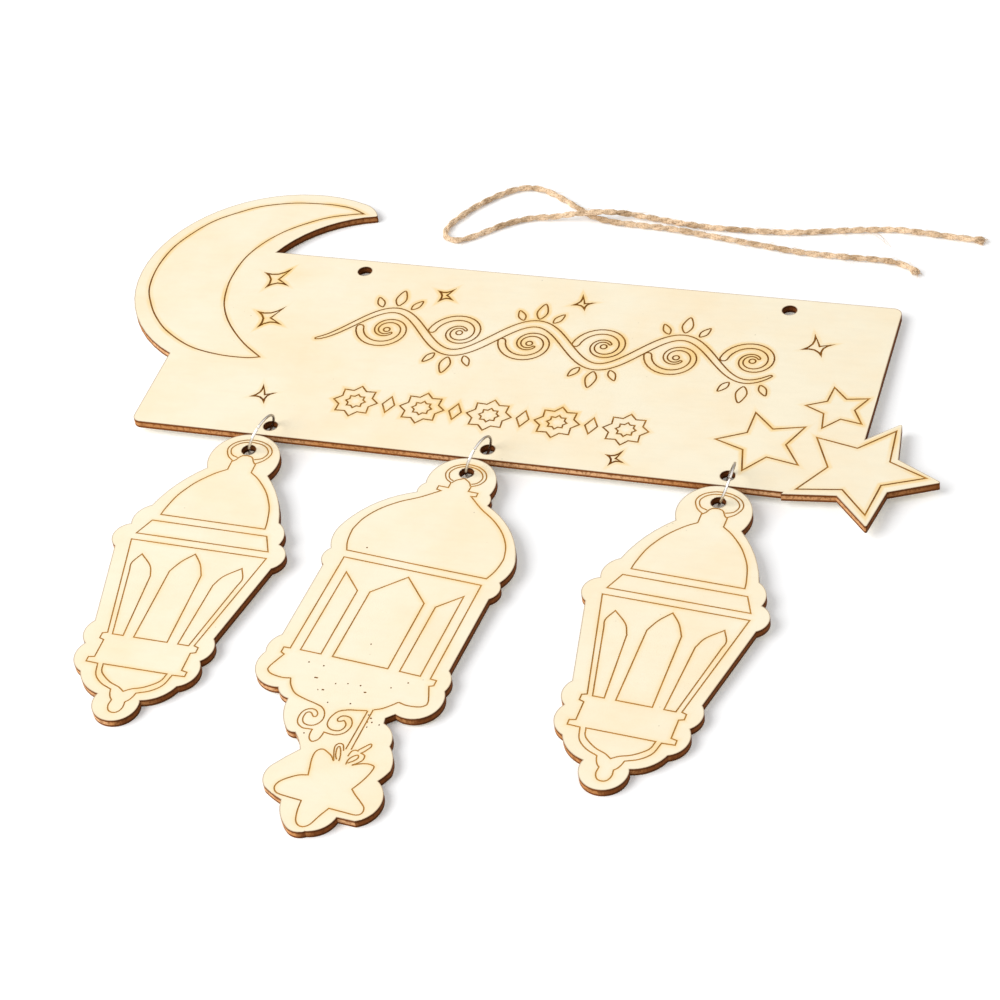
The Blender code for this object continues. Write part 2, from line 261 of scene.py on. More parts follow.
class TwineSettings(bpy.types.PropertyGroup):
    """Sizes and colour of the jute twine."""

    diameter: bpy.props.FloatProperty(
        name="Diameter",
        description="Diameter over both strands",
        subtype="DISTANCE",
        default=0.0023,
        min=0.0005,
        max=0.01,
    )
    lay: bpy.props.FloatProperty(
        name="Lay",
        description="Length in which a strand goes once round the other",
        subtype="DISTANCE",
        default=0.0102,
        min=0.002,
        max=0.05,
    )
    fibres: bpy.props.IntProperty(
        name="Stray Fibres",
        description="Number of fibres that stand off the strands",
        default=240,
        min=0,
        max=1000,
    )
    colour: bpy.props.FloatVectorProperty(
        name="Jute",
        description="Colour of the fibres",
        default=(0.77, 0.585, 0.40),
        **COLOUR,
    )


class WireSettings(bpy.types.PropertyGroup):
    """Finish of the jump rings."""

    colour: bpy.props.FloatVectorProperty(
        name="Nickel",
        description="Colour of the plating",
        default=(0.33, 0.29, 0.25),
        **COLOUR,
    )


class StageSettings(bpy.types.PropertyGroup):
    """Light and table."""

    key_power: bpy.props.FloatProperty(
        name="Key Light",
        description="Power of the large lamp at the left",
        subtype="POWER",
        default=78.5,
        min=0.0,
        max=500.0,
    )
    sky: bpy.props.FloatProperty(
        name="Surrounding Light",
        description="Strength of the light from all round",
        default=0.56,
        min=0.0,
        max=5.0,
    )
    table: bpy.props.FloatVectorProperty(
        name="Table",
        description="Colour of the table top",
        default=(0.97, 0.97, 0.97),
        **COLOUR,
    )
    table_lift: bpy.props.FloatProperty(
        name="Table Lift",
        description="How much the table top glows, which brings it to white where nothing shades it",
        default=0.16,
        min=0.0,
        max=1.0,
    )


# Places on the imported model


def joint_named(name):
    """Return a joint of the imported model."""
    return next(joint for joint in frame["joints"] if joint["name"] == name)


def sloped(place, normal, turn=0.0):
    """Return the matrix of a board that slopes about x, with the given normal, at a place."""
    slope = math.asin(-normal[1])
    return Matrix.Translation(place) @ Matrix.Rotation(slope, 4, "X") @ Matrix.Rotation(turn, 4, "Z")


def plaque_place():
    """Return the plaque's matrix: its origin is the lower left corner, at half thickness."""
    back = frame["record"]["mounts"][0]
    normal = [-part for part in back["axis"]]
    level = sloped((0, 0, 0), normal)
    reach = level @ (Vector((*MOUNT_AT, -PLY / 2)) * MM)
    return Matrix.Translation(Vector(back["pos_m"]) - reach) @ level


def lantern_place(side):
    """Return a lantern's matrix: its origin is the middle of its hole, at half thickness."""
    joint = joint_named(side + "_lantern_sway")
    return sloped(joint["pos_m"], joint["axis"], math.radians(LANTERN_TURNS[side]))


def table_corner():
    """Return the point of the table below the plaque's lower left corner."""
    foot = plaque_place() @ Vector((0, 0, -PLY / 2 * MM))
    return Vector((foot.x, foot.y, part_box("hanging_cord")[0].z - TWINE_GAP))


def add_object(name, data):
    """Add an object that holds a mesh, curve, lamp or camera to the scene."""
    thing = bpy.data.objects.new(name, data)
    bpy.context.scene.collection.objects.link(thing)
    return thing


# Lines of a drawing, in millimetres


def polar(centre, radius, degrees):
    """Return the point at an angle on a circle."""
    angle = math.radians(degrees)
    return (centre[0] + radius * math.cos(angle), centre[1] + radius * math.sin(angle))


def heading(centre, point):
    """Return the angle in degrees at which a point is seen from a centre."""
    return math.degrees(math.atan2(point[1] - centre[1], point[0] - centre[0]))


def arc(centre, radius, start, end, step):
    """Return points along a circle from one angle to another, both included."""
    count = max(3, math.ceil(abs(math.radians(end - start)) * radius / step))
    return [polar(centre, radius, start + (end - start) * k / count) for k in range(count + 1)]


def run_out(knots):
    """Return points with one more beyond each end, in line with the two there."""
    return [2 * knots[0] - knots[1]] + knots + [2 * knots[-1] - knots[-2]]


def between(a, b, c, d, t):
    """Return the point at share t of the way from b to c on the smooth curve through four points."""
    bend = (2 * t**3 - 3 * t**2 + 1) * b + (3 * t**2 - 2 * t**3) * c
    return bend + (t**3 - 2 * t**2 + t) * (c - a) / 2 + (t**3 - t**2) * (d - b) / 2


def smooth(points, closed=False, step=STEP):
    """Return points on a smooth curve through the given points."""
    knots = [Vector(point) for point in points]
    knots = [knots[-1]] + knots + knots[:2] if closed else run_out(knots)
    curve = []
    for a, b, c, d in zip(knots, knots[1:], knots[2:], knots[3:]):
        count = max(2, math.ceil((c - b).length / step))
        curve += [between(a, b, c, d, k / count) for k in range(count)]
    return curve if closed else curve + [knots[-2]]


def curled(points):
    """Return points on a smooth curve that has small curls."""
    return smooth(points, step=CURL_STEP)


def mirrored(points):
    """Return points mirrored across the middle line, in reverse order."""
    return [(-x, y) for x, y in reversed(points)]


def moved(strokes, x):
    """Return strokes shifted sideways."""
    return [([(px + x, py) for px, py in points], closed) for points, closed in strokes]


def whole(half, closed=True):
    """Return the line that a right half and its mirror image make across the middle line."""
    if closed:
        return (half + mirrored(half)[1:-1], True)
    return (mirrored(half)[:-1] + half, False)


def star_points(centre, tip, waist, turn, tips=5):
    """Return the corners of a star, tip first."""
    step = 180 / tips
    return [polar(centre, tip if k % 2 == 0 else waist, turn + step * k) for k in range(2 * tips)]


def sparkle(top, right, bottom, left, pinch):
    """Return a four-pointed sparkle with hollow sides, cut deeper between its top and right tips."""
    tips = [Vector(tip) for tip in (right, bottom, left, top)]
    centre = sum(tips, Vector((0, 0))) / 4
    waist, shares = 0.12, (0, 0.12, 0.25, 0.5, 0.75, 0.88)
    points = []
    for a, b in zip(tips, tips[1:]):
        hollow = centre + ((a + b) / 2 - centre) * waist
        points += [a.lerp(hollow, t).lerp(hollow.lerp(b, t), t) for t in shares]
    return points + [top, pinch]


def ribbon(spine, widths):
    """Return the outline of a ribbon of changing width along a line, closed with round ends."""
    spine = [Vector(point) for point in spine]
    left, right = [], []
    for k, point in enumerate(spine):
        ahead = (spine[min(k + 1, len(spine) - 1)] - spine[max(k - 1, 0)]).normalized()
        side = Vector((-ahead.y, ahead.x)) * widths(k / (len(spine) - 1)) / 2
        left.append(point + side)
        right.append(point - side)
    start, end = heading(spine[0], left[0]), heading(spine[-1], right[-1])
    round_end = (135, 90, 45)
    first = [polar(spine[0], widths(0) / 2, start + turn) for turn in round_end]
    last = [polar(spine[-1], widths(1) / 2, end + turn) for turn in round_end]
    return left + last + right[::-1] + first


# Drawings on the plaque


def crescent():
    """Return the engraved crescent."""
    outer = smooth([(41.9, 121.1), (36.7, 123.6), (31.7, 124.6), (25.6, 124.9), (14.4, 124.0), (3.3, 120.6),
                    (-4.4, 115.7), (-11.1, 110.0), (-16.1, 102.8), (-20.6, 92.8), (-22.2, 81.0),
                    (-20.8, 69.3), (-16.7, 60.4), (-11.7, 53.2), (-5.0, 46.6), (5.6, 40.2), (16.7, 37.5),
                    (26.7, 37.2), (31.9, 38.3)])
    inner = smooth([(31.9, 38.3), (23.3, 45.0), (15.0, 54.1), (9.7, 63.2), (7.3, 72.0), (6.6, 80.0),
                    (7.5, 90.0), (10.8, 98.9), (16.1, 106.7), (22.8, 112.8), (30.0, 117.5), (38.9, 120.6),
                    (41.9, 121.1)])
    return [(outer + inner[1:-1], True)]


def stars():
    """Return the three engraved stars at the lower right."""
    big = [(249.0, 33.9), (249.6, 19.1), (262.0, 13.4), (248.9, 7.9), (246.6, -6.3),
           (237.5, 4.1), (223.4, 2.0), (231.1, 13.7), (224.9, 27.0), (238.5, 23.9)]
    middle = [(203.3, 35.9), (210.4, 28.8), (220.4, 31.4), (216.0, 22.0), (221.8, 13.1),
              (211.2, 15.3), (205.0, 7.8), (203.1, 17.6), (193.4, 21.2), (202.7, 25.9)]
    small = star_points((228.9, 41.8), 10.7, 5.2, 36.0)
    return [(big, True), (middle, True), (small, True)]


def sparkles():
    """Return the small sparkles scattered over the plaque."""
    scattered = (
        ((26.5, 86.6), (28.3, 77.2), (20.8, 75.2), (17.8, 83.2), (23.8, 80.2)),
        ((31.4, 65.5), (33.1, 56.2), (25.6, 53.7), (22.7, 61.9), (28.3, 59.1)),
        ((87.5, 83.7), (88.4, 77.8), (83.7, 76.5), (82.1, 82.0), (85.6, 80.1)),
        ((132.3, 86.8), (137.1, 83.3), (134.7, 79.2), (130.1, 81.2), (133.9, 82.4)),
        ((214.1, 77.4), (221.0, 73.3), (218.2, 66.9), (211.3, 69.4), (216.7, 71.7)),
        ((38.4, 24.4), (43.7, 21.0), (41.5, 15.8), (36.1, 18.2), (40.5, 19.6)),
        ((165.7, 10.8), (167.1, 5.5), (162.9, 3.8), (161.0, 8.3), (164.3, 7.0)),
    )
    return [(sparkle(*corners), True) for corners in scattered]


def vine():
    """Return a running vine scroll: a waved stem, a tendril curled into each wave, and leaves."""
    start, level = 58.0, 60.0
    waves, pitch, rise = 6, 25.2, 9.5
    parts, before, after = 20, 8, 4
    tip_width, swell = 0.9, 2.5
    leaf_spread, leaf_gap, leaf_drop = 5.2, 2.6, 1.4
    shares = [k / parts for k in range(-before, parts * waves - after + 1)]
    stem = [(start + pitch * t, level + rise * math.sin(math.pi * t)) for t in shares]
    strokes = [(ribbon(stem, lambda t: tip_width + swell * math.sin(math.pi * t) ** 0.5), True)]
    for wave in range(waves):
        up = 1 if wave % 2 == 0 else -1
        centre = Vector((start + pitch * (wave + 0.5), level - up))
        strokes += tendril(centre, up)
        for lean in (-1, 0, 1):
            height = rise + leaf_gap - leaf_drop * abs(lean)
            root = Vector((centre.x + lean * leaf_spread, level + up * height))
            strokes.append(leaf(root, lean, up))
    return strokes


def tendril(centre, up):
    """Return a ribbon that curls inwards and narrows, and the bud in its middle."""
    reach, tightening, turn, count = 9.6, 1.35, 500, 45
    root_width, taper, bud_radius = 2.6, 1.7, 1.1
    curl = []
    for k in range(count + 1):
        t = k / count
        angle = math.radians(180 + turn * t)
        radius = reach * math.exp(-tightening * t)
        curl.append(centre + Vector((math.cos(angle), up * math.sin(angle))) * radius)
    bud = arc(centre, bud_radius, 0, 340, step=0.4)
    return [(ribbon(curl, lambda t: root_width - taper * t), True), (bud, True)]


def leaf(root, lean, up):
    """Return a pointed leaf beside the vine: a long upright one, or a shorter one that leans."""
    way = Vector((0.55 * lean, up)).normalized()
    side = Vector((-way.y, way.x))
    length = 8.2 if lean == 0 else 5.6
    shape = ((0.0, 0.0), (0.3, 0.2), (0.62, 0.19), (1.0, 0.0), (0.62, -0.19), (0.3, -0.2))
    outline = [root + way * length * along + side * across * length for along, across in shape]
    return (smooth(outline, closed=True, step=0.7), True)


def star_row():
    """Return a row of eight-pointed stars, one inside the other, with lozenges between them."""
    first, pitch, level, count = 72.0, 23.0, 21.2, 5
    wide, high = 2.1, 4.0
    strokes = []
    for k in range(count):
        for tip, waist in ((7.6, 5.6), (3.4, 2.5)):
            strokes.append((star_points((first + pitch * k, level), tip, waist, 0.0, tips=8), True))
    for k in range(count - 1):
        x = first + pitch * (k + 0.5)
        lozenge = [(x - wide, level), (x, level + high), (x + wide, level), (x, level - high)]
        strokes.append((lozenge, True))
    return strokes


# Drawings on the lanterns


def window(points):
    """Return a closed window outline and its mirror image."""
    return [(points, True), (mirrored(points), True)]


def side_lantern_drawing():
    """Return the lines that the left and right lanterns share."""
    hanger = smooth([(0, 4.75), (3.2, 4.2), (6.3, 2.4), (7.65, -0.5), (6.3, -3.8), (3.85, -5.85)])
    dome = smooth([(4.2, -9.9), (7.6, -12.4), (11.8, -16.9), (14.4, -21.0), (16.2, -24.9), (17.6, -30.5),
                   (18.0, -33.4)])
    eye = smooth([(0, 3.6), (3.1, 3.1), (5.3, 1.7), (6.4, -0.5), (5.3, -3.0), (2.9, -4.0)])
    finial = smooth([(0, -2.6), (1.6, -2.95), (2.4, -3.8), (3.0, -5.0), (3.9, -5.9)])
    base = [(23.15, -45.5), (14.5, -84.8), (16.05, -85.3), (16.05, -87.4), (14.5, -87.9), (14.5, -95.0),
            (16.4, -95.4), (16.4, -97.2)]
    bowl = smooth([(12.4, -97.4), (11.1, -101.8), (8.1, -104.7), (4.2, -106.4)])
    drop = smooth([(4.2, -106.4), (3.7, -108.2), (3.0, -109.5), (2.2, -110.3)])
    drop += smooth([(2.2, -110.3), (2.4, -112.5), (1.8, -114.1), (0.9, -114.85), (0, -115.0)])[1:]
    lip = smooth([(10.6, -97.25), (9.6, -100.5), (5.8, -103.6), (2.1, -105.1), (0, -106.5)])
    arch = smooth([(0, -48.0), (3.2, -51.9), (5.4, -56.5)])
    outer = smooth([(17.1, -51.1), (18.9, -55.3), (18.3, -58.5)])
    inner = smooth([(10.65, -59.7), (12.5, -55.5), (17.1, -51.1)])
    strokes = [
        whole(hanger + [(4.15, -6.0), (4.15, -9.8)] + dome + [(0, -33.4)]),
        whole(eye, closed=False),
        whole(finial, closed=False),
        whole([(0, -36.3), (19.75, -36.3), (22.65, -42.7), (0, -42.7)]),
        whole([(0, -45.5)] + base + bowl + drop[1:]),
        whole([(0, -97.25)] + lip),
        whole(arch + [(5.6, -85.1), (0, -85.1)]),
    ]
    strokes += window(outer + [(12.75, -85.1), (9.15, -85.1)] + inner[:-1])
    return moved(strokes, 0.55)


def middle_lantern_drawing():
    """Return the lines on the middle lantern, with the scrolls, the string and the tied star."""
    hanger = smooth([(0, 3.85), (2.9, 3.35), (5.7, 1.5), (6.85, -1.3), (5.7, -4.0), (3.5, -5.4)])
    neck = [(3.45, -7.7), (6.75, -7.7), (6.8, -9.3)]
    dome = smooth([(5.2, -9.6), (10.5, -14.0), (16.1, -17.7), (20.8, -22.1), (24.0, -27.0), (25.4, -31.5),
                   (25.6, -34.0), (25.0, -38.3), (23.65, -41.9)])
    eye = smooth([(0, 2.9), (2.6, 2.4), (4.7, 0.9), (5.65, -1.3), (4.7, -3.6), (3.1, -4.4)])
    finial = smooth([(0, -2.5), (2.0, -3.7), (2.7, -4.5), (3.2, -5.4)])
    body = [(0, -44.9), (23.2, -44.9), (23.15, -84.8), (25.2, -84.9), (25.2, -87.0)]
    skirt = smooth([(23.9, -87.6), (26.1, -93.3), (25.75, -95.0), (24.0, -96.0), (20.5, -96.4),
                    (17.7, -95.9)])
    strokes = [
        whole(hanger + neck + dome + [(0, -42.0)]),
        whole(eye, closed=False),
        whole(finial, closed=False),
        whole(body + skirt, closed=False),
        whole([(0, -47.7), (9.1, -56.7), (9.15, -84.5), (0, -84.5)]),
    ]
    strokes += window([(19.8, -50.7), (13.1, -57.2), (13.0, -84.5), (19.8, -84.6)])
    return moved(strokes, 0.35) + scrolls() + string_and_bow() + [(tied_star(), False)]


def scrolls():
    """Return the bowl below the middle lantern, drawn in one line with its two scrolls."""
    left = curled([(-17.4, -96.0), (-16.3, -98.3), (-13.7, -101.0), (-10.0, -102.3), (-5.7, -103.2),
                   (-3.3, -104.0), (-1.7, -105.7), (-1.1, -108.0), (-1.7, -110.0), (-3.0, -111.2),
                   (-4.7, -111.5), (-6.3, -110.9), (-7.1, -109.3), (-7.0, -107.3), (-6.1, -106.7),
                   (-5.3, -107.0), (-4.3, -108.0), (-3.5, -107.7), (-3.5, -106.7), (-4.3, -105.7),
                   (-5.7, -105.3), (-7.3, -105.9), (-8.3, -107.3), (-8.5, -109.7), (-7.7, -111.7),
                   (-5.7, -112.9), (-3.7, -112.8), (-2.5, -112.7)])
    stem = curled([(-2.5, -112.7), (-2.5, -114.3), (-2.0, -116.0), (-0.7, -117.0), (0.7, -116.0),
                   (1.2, -114.3), (1.3, -112.7)])
    right = curled([(1.3, -112.7), (3.3, -112.9), (5.3, -112.7), (7.3, -111.3), (8.2, -109.0),
                    (7.9, -107.0), (6.7, -105.5), (5.0, -105.2), (3.7, -105.7), (3.1, -107.0),
                    (3.7, -107.7), (4.7, -107.3), (5.3, -107.0), (6.3, -108.0), (6.5, -109.3),
                    (5.7, -110.8), (4.0, -111.3), (2.3, -111.0), (1.0, -109.7), (0.7, -107.7),
                    (1.2, -105.7), (2.3, -104.0), (4.7, -102.8), (7.3, -102.2), (10.3, -101.5)])
    rim = smooth([(12.0, -100.7), (14.3, -99.5), (16.3, -97.7), (18.0, -95.9)])
    return [(left + stem[1:] + right[1:], False), (rim, False)]


def string_and_bow():
    """Return the string below the bowl and the bow that is tied in it."""
    left_loop = curled([(8.7, -122.0), (7.3, -118.7), (6.8, -116.7), (7.5, -115.5), (8.7, -115.5),
                        (9.5, -116.7), (9.9, -117.7)])
    left_inside = curled([(10.2, -121.7), (9.9, -120.0), (9.0, -117.7), (8.1, -116.5), (7.7, -117.3),
                          (8.3, -119.7), (9.3, -121.3)])
    middle = curled([(12.0, -119.3), (12.3, -117.3), (13.3, -116.5), (14.3, -116.7)])
    tail = curled([(14.0, -116.3), (16.0, -113.7), (16.7, -113.1), (17.2, -114.0), (16.0, -116.3),
                   (15.3, -117.1)])
    right_loop = curled([(15.3, -117.1), (16.7, -117.7), (16.9, -119.3), (16.0, -120.7), (14.5, -122.1)])
    right_inside = curled([(12.7, -122.3), (12.7, -120.3), (13.7, -118.7), (14.8, -118.1), (15.2, -119.0),
                           (14.5, -120.3), (13.0, -121.7)])
    lines = [[(10.5, -101.5), (10.3, -117.0)], [(11.9, -100.7), (11.9, -116.7)], left_loop, left_inside,
             middle, tail + right_loop[1:], right_inside]
    return [(points, False) for points in lines]


def tied_star():
    """Return the round-tipped star that hangs on the string."""
    north_west = smooth([(8.7, -122.1), (7.3, -120.5), (6.0, -119.7), (4.0, -118.8), (2.7, -119.3),
                         (2.0, -120.7), (2.2, -123.3), (2.9, -126.0), (3.7, -129.0)])
    west = smooth([(3.7, -129.0), (0.7, -130.0), (-2.7, -132.7), (-3.9, -134.7), (-3.8, -136.3),
                   (-2.3, -137.7), (1.3, -138.1), (5.8, -138.3)])
    south = smooth([(5.8, -138.3), (6.3, -142.0), (7.3, -145.3), (8.7, -146.8), (10.3, -147.0),
                    (11.9, -145.7), (13.3, -142.0), (14.8, -138.7)])
    east = smooth([(14.8, -138.7), (19.3, -138.8), (23.3, -138.8), (24.7, -137.7), (24.5, -135.7),
                   (22.7, -134.0), (20.0, -131.9), (18.3, -130.3)])
    north_east = smooth([(18.3, -130.3), (19.7, -127.3), (20.8, -124.0), (21.2, -121.3), (20.7, -120.5),
                         (19.0, -120.3), (17.0, -120.8), (14.5, -122.1)])
    return north_west + west[1:] + south[1:] + east[1:] + north_east[1:]


def burn_specks():
    """Return the tiny burnt spots that the laser left on the middle lantern."""
    places = ((-6.0, -97.6, 0.8), (6.7, -95.1, 0.8), (-10.0, -93.7, 1.2), (-9.8, -88.7, 0.5),
              (-14.8, -88.5, 0.5), (-3.3, -94.3, 0.4), (0.3, -93.3, 0.4), (4.3, -93.0, 0.5),
              (13.5, -91.3, 0.4), (17.7, -88.1, 0.5), (4.3, -100.4, 0.5), (-2.5, -101.8, 0.4),
              (-7.5, -98.0, 0.3), (11.4, -103.0, 0.4), (12.6, -104.0, 0.6), (13.5, -105.4, 0.5),
              (12.2, -105.6, 0.3), (12.8, -107.5, 0.4), (16.0, -105.7, 0.4), (-4.3, -114.7, 0.4),
              (0.5, -76.7, 0.4), (-17.5, -39.3, 0.5))
    slant = 0.1
    return [([(x - length / 2, y), (x + length / 2, y + slant)], False) for x, y, length in places]


# Boards


def board_outlines(node, place):
    """Return the rims of a CAD board's front face in millimetres, the longest first."""
    bm = bmesh.new()
    bm.from_mesh(frame["nodes"][node].data)
    bmesh.ops.transform(bm, matrix=place.inverted(), verts=bm.verts)
    bmesh.ops.remove_doubles(bm, verts=bm.verts, dist=0.01 * MM)
    bmesh.ops.delete(bm, geom=[face for face in bm.faces if face.normal.z < 0.9], context="FACES")
    walked = {edge for edge in bm.edges if not edge.is_boundary}
    outlines = []
    for edge in bm.edges:
        if edge in walked:
            continue
        outline = []
        corner = edge.verts[0]
        while edge:
            walked.add(edge)
            outline.append(Vector((corner.co.x / MM, corner.co.y / MM)))
            corner = edge.other_vert(corner)
            edge = next((e for e in corner.link_edges if e not in walked), None)
        outlines.append(outline)
    bm.free()
    outlines.sort(key=lambda points: -max(p.x for p in points) + min(p.x for p in points))
    return outlines


def spread(points, closed, width):
    """Return the two sides of a line of the given width, mitred at its corners."""
    nearest, sharpest = 0.02, 0.4
    points = [Vector(point) for point in points]
    points = [p for k, p in enumerate(points) if k == 0 or (p - points[k - 1]).length > nearest]
    if closed and (points[0] - points[-1]).length < nearest:
        points.pop()
    sides = ([], [])
    for k, point in enumerate(points):
        last = point - points[k - 1] if closed or k else points[1] - point
        ahead = points[(k + 1) % len(points)] - point if closed or k < len(points) - 1 else last
        last, ahead = last.normalized(), ahead.normalized()
        across = last + ahead
        if across.length < nearest:
            across = last
        across = Vector((-across.y, across.x)).normalized()
        reach = width / 2 / max(across.dot(Vector((-last.y, last.x))), sharpest)
        sides[0].append(point + across * reach)
        sides[1].append(point - across * reach)
    return sides


def lengthened(points, reach):
    """Return an open line that runs on at both ends."""
    points = [Vector(point) for point in points]
    first = points[0] + (points[0] - points[1]).normalized() * reach
    last = points[-1] + (points[-1] - points[-2]).normalized() * reach
    return [first] + points + [last]


def anticlockwise(corners, patch):
    """Return a patch's corners in anticlockwise order."""
    around = zip(patch, patch[1:] + patch[:1])
    area = sum(corners[a].x * corners[b].y - corners[b].x * corners[a].y for a, b in around)
    return patch if area > 0 else patch[::-1]


def burnt_bands(passes):
    """Return the lines that the laser burns, with their widths."""
    return [(points, closed, item.width) for item in passes for points, closed in item.strokes]


def dark_bands(passes, outlines):
    """Return the lines' hazes and the rims beside the cuts, with their widths."""
    lines = bpy.context.scene.ornament_engraving
    bands = []
    for item in passes:
        for points, closed in item.strokes if item.hazy else ():
            points = points if closed else lengthened(points, lines.scorch_reach)
            bands.append((points, closed, item.width + 2 * lines.scorch_reach))
    return bands + [(outline, True, 2 * lines.rim_width) for outline in outlines]


def add_bands(corners, patches, bands):
    """Add the corners and the triangles of lines with a width."""
    for points, closed, width in bands:
        left, right = spread(points, closed, width)
        start, count = len(corners), len(left)
        corners.extend(left + right)
        for k in range(count if closed else count - 1):
            n = (k + 1) % count
            patches.append([start + k, start + n, start + count + n])
            patches.append([start + k, start + count + n, start + count + k])


def draw_face(bm, outlines, passes):
    """Make a board's face, divided along its drawing, and return the part that the laser burns."""
    corners, patches = [], []
    for outline in outlines:
        patches.append(list(range(len(corners), len(corners) + len(outline))))
        corners.extend(outline)
    first_line = len(patches)
    add_bands(corners, patches, burnt_bands(passes))
    first_dark = len(patches)
    add_bands(corners, patches, dark_bands(passes, outlines))
    patches = [anticlockwise(corners, patch) for patch in patches]
    inside_patches, smallest_gap = 1, 0.00001
    points, _, faces, _, _, origins = delaunay_2d_cdt(corners, [], patches, inside_patches, smallest_gap)
    top = [bm.verts.new((p.x, p.y, PLY / 2)) for p in points]
    burnt = []
    for face, made_from in zip(faces, origins):
        if 0 not in made_from or any(0 < k < first_line for k in made_from):
            continue
        made = bm.faces.new([top[k] for k in face])
        if any(first_line <= k < first_dark for k in made_from):
            burnt.append(made)
    bmesh.ops.delete(bm, geom=[v for v in bm.verts if not v.link_faces], context="VERTS")
    return burnt


def sink(bm, burnt):
    """Sink the burnt part of a board's face, and return its lowered corners."""
    sunk = bmesh.ops.extrude_face_region(bm, geom=burnt)["geom"]
    bmesh.ops.delete(bm, geom=burnt, context="FACES")
    bottom = [item for item in sunk if isinstance(item, bmesh.types.BMVert)]
    depth = bpy.context.scene.ornament_engraving.line_depth
    bmesh.ops.translate(bm, verts=bottom, vec=(0, 0, -depth))
    for vert in bottom:
        for face in vert.link_faces:
            face.material_index = GROOVE
    return bottom


def add_edge_and_back(bm):
    """Add a board's cut edge and its back, and return the back's corners."""
    rims = [edge for edge in bm.edges if edge.is_boundary]
    skirt = bmesh.ops.extrude_edge_only(bm, edges=rims)["geom"]
    back = [item for item in skirt if isinstance(item, bmesh.types.BMVert)]
    for face in (item for item in skirt if isinstance(item, bmesh.types.BMFace)):
        face.material_index = EDGE
    for vert in back:
        vert.co.z = -PLY / 2
    bmesh.ops.triangle_fill(bm, edges=[edge for edge in bm.edges if edge.is_boundary], use_beauty=True)
    bmesh.ops.recalc_face_normals(bm, faces=bm.faces[:])
    return back


def carve_board(name, node, place, passes):
    """Make an engraved board in the place of a CAD board."""
    outlines = board_outlines(node, place)
    haze_reach = bpy.context.scene.ornament_engraving.scorch_reach
    groove_reach = 0.1
    bm = bmesh.new()
    scorch, depth, rim = [bm.verts.layers.float.new(layer) for layer in ("scorch", "depth", "rim")]
    # This loop layer holds the painted shade of the cut faces, written from their facing and the holes
    shade_and_soot = bm.loops.layers.float.new("shade_and_soot")
    burnt = draw_face(bm, outlines, passes)
    shade_scorch(bm.verts, scorch, [item for item in passes if item.hazy], haze_reach)
    for vert in bm.verts:
        vert[rim] = float(vert.is_boundary)
    shade_scorch(sink(bm, burnt), scorch, passes, groove_reach)
    for vert in add_edge_and_back(bm):
        vert[depth] = 1.0
        vert[rim] = 0.0
    paint_edge_shade(bm, shade_and_soot, outlines[1:])
    bmesh.ops.transform(bm, matrix=place @ Matrix.Scale(MM, 4), verts=bm.verts)

    mesh = bpy.data.meshes.new(name)
    bm.to_mesh(mesh)
    bm.free()
    for paint in (plywood_face, burnt_line, charred_edge):
        mesh.materials.append(painted(paint))
    mesh.shade_smooth()
    mesh.set_sharp_from_angle(angle=math.radians(30))
    board = add_object(name, mesh)
    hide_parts(node)
    return board


def shade_scorch(verts, scorch, passes, reach):
    """Write how strongly each point is scorched by the nearest burnt line."""
    spacing = 0.2
    samples = []
    for item in passes:
        for points, closed in item.strokes:
            points = [Vector(p) for p in points]
            for a, b in zip(points, points[1:] + (points[:1] if closed else [])):
                count = max(1, math.ceil((b - a).length / spacing))
                samples += [(a.lerp(b, k / count), item) for k in range(count + 1)]
    tree = KDTree(len(samples))
    for k, (sample, _) in enumerate(samples):
        tree.insert((sample.x, sample.y, 0), k)
    tree.balance()
    for vert in verts:
        _, k, gap = tree.find((vert.co.x, vert.co.y, 0))
        item = samples[k][1]
        vert[scorch] = item.strength * max(0.0, min(1.0, 1 - (gap - item.width / 2) / reach))


def paint_edge_shade(bm, shade_and_soot, holes):
    """Write each cut face's painted shade: more as it faces right, away from the lamp, and full in the holes."""
    hole_reach, unshaded_below, rise = 4, 0.02, 0.6
    centres = [sum(rim, Vector((0, 0))) / len(rim) for rim in holes]
    for face in bm.faces:
        if face.material_index == EDGE:
            middle = face.calc_center_median().to_2d()
            # Painted shade: full in the holes, and rising as the face turns right, away from the lamp
            in_hole = any((middle - centre).length < hole_reach for centre in centres)
            level = 1.0 if in_hole else max(0.0, min(1.0, (face.normal.x - unshaded_below) / rise))
            for loop in face.loops:
                loop[shade_and_soot] = level


# Finishes


def rgba(colour):
    """Return the four parts of a colour. A single number is a grey."""
    return (colour, colour, colour, 1.0) if isinstance(colour, float) else (*colour, 1.0)


def feed(tree, slot, value):
    """Link a socket to an input, or write a value into it."""
    if isinstance(value, bpy.types.NodeSocket):
        tree.links.new(value, slot)
    else:
        slot.default_value = value


def set_node(tree, node, **values):
    """Give a node its properties, and its inputs a value or a socket each."""
    for name, value in values.items():
        if hasattr(node, name):
            setattr(node, name, value)
        else:
            feed(tree, node.inputs[name.replace("_", " ")], value)


def node_of(tree, kind, place, **values):
    """Add a shader node with the given properties and inputs."""
    node = tree.nodes.new(kind)
    node.location = place
    set_node(tree, node, **values)
    return node


def on_object(tree, place):
    """Return the socket that gives each point's place on its object."""
    return node_of(tree, "ShaderNodeTexCoord", place).outputs["Object"]


def level_of(tree, name, place):
    """Return the socket of a level that the mesh holds under a name."""
    return node_of(tree, "ShaderNodeAttribute", place, attribute_name=name).outputs["Fac"]


def noise(tree, where, place, scale, detail, roughness=0.5):
    """Return the level of a noise texture."""
    values = {"Vector": where, "Scale": scale, "Detail": detail, "Roughness": roughness}
    return node_of(tree, "ShaderNodeTexNoise", place, **values).outputs["Fac"]


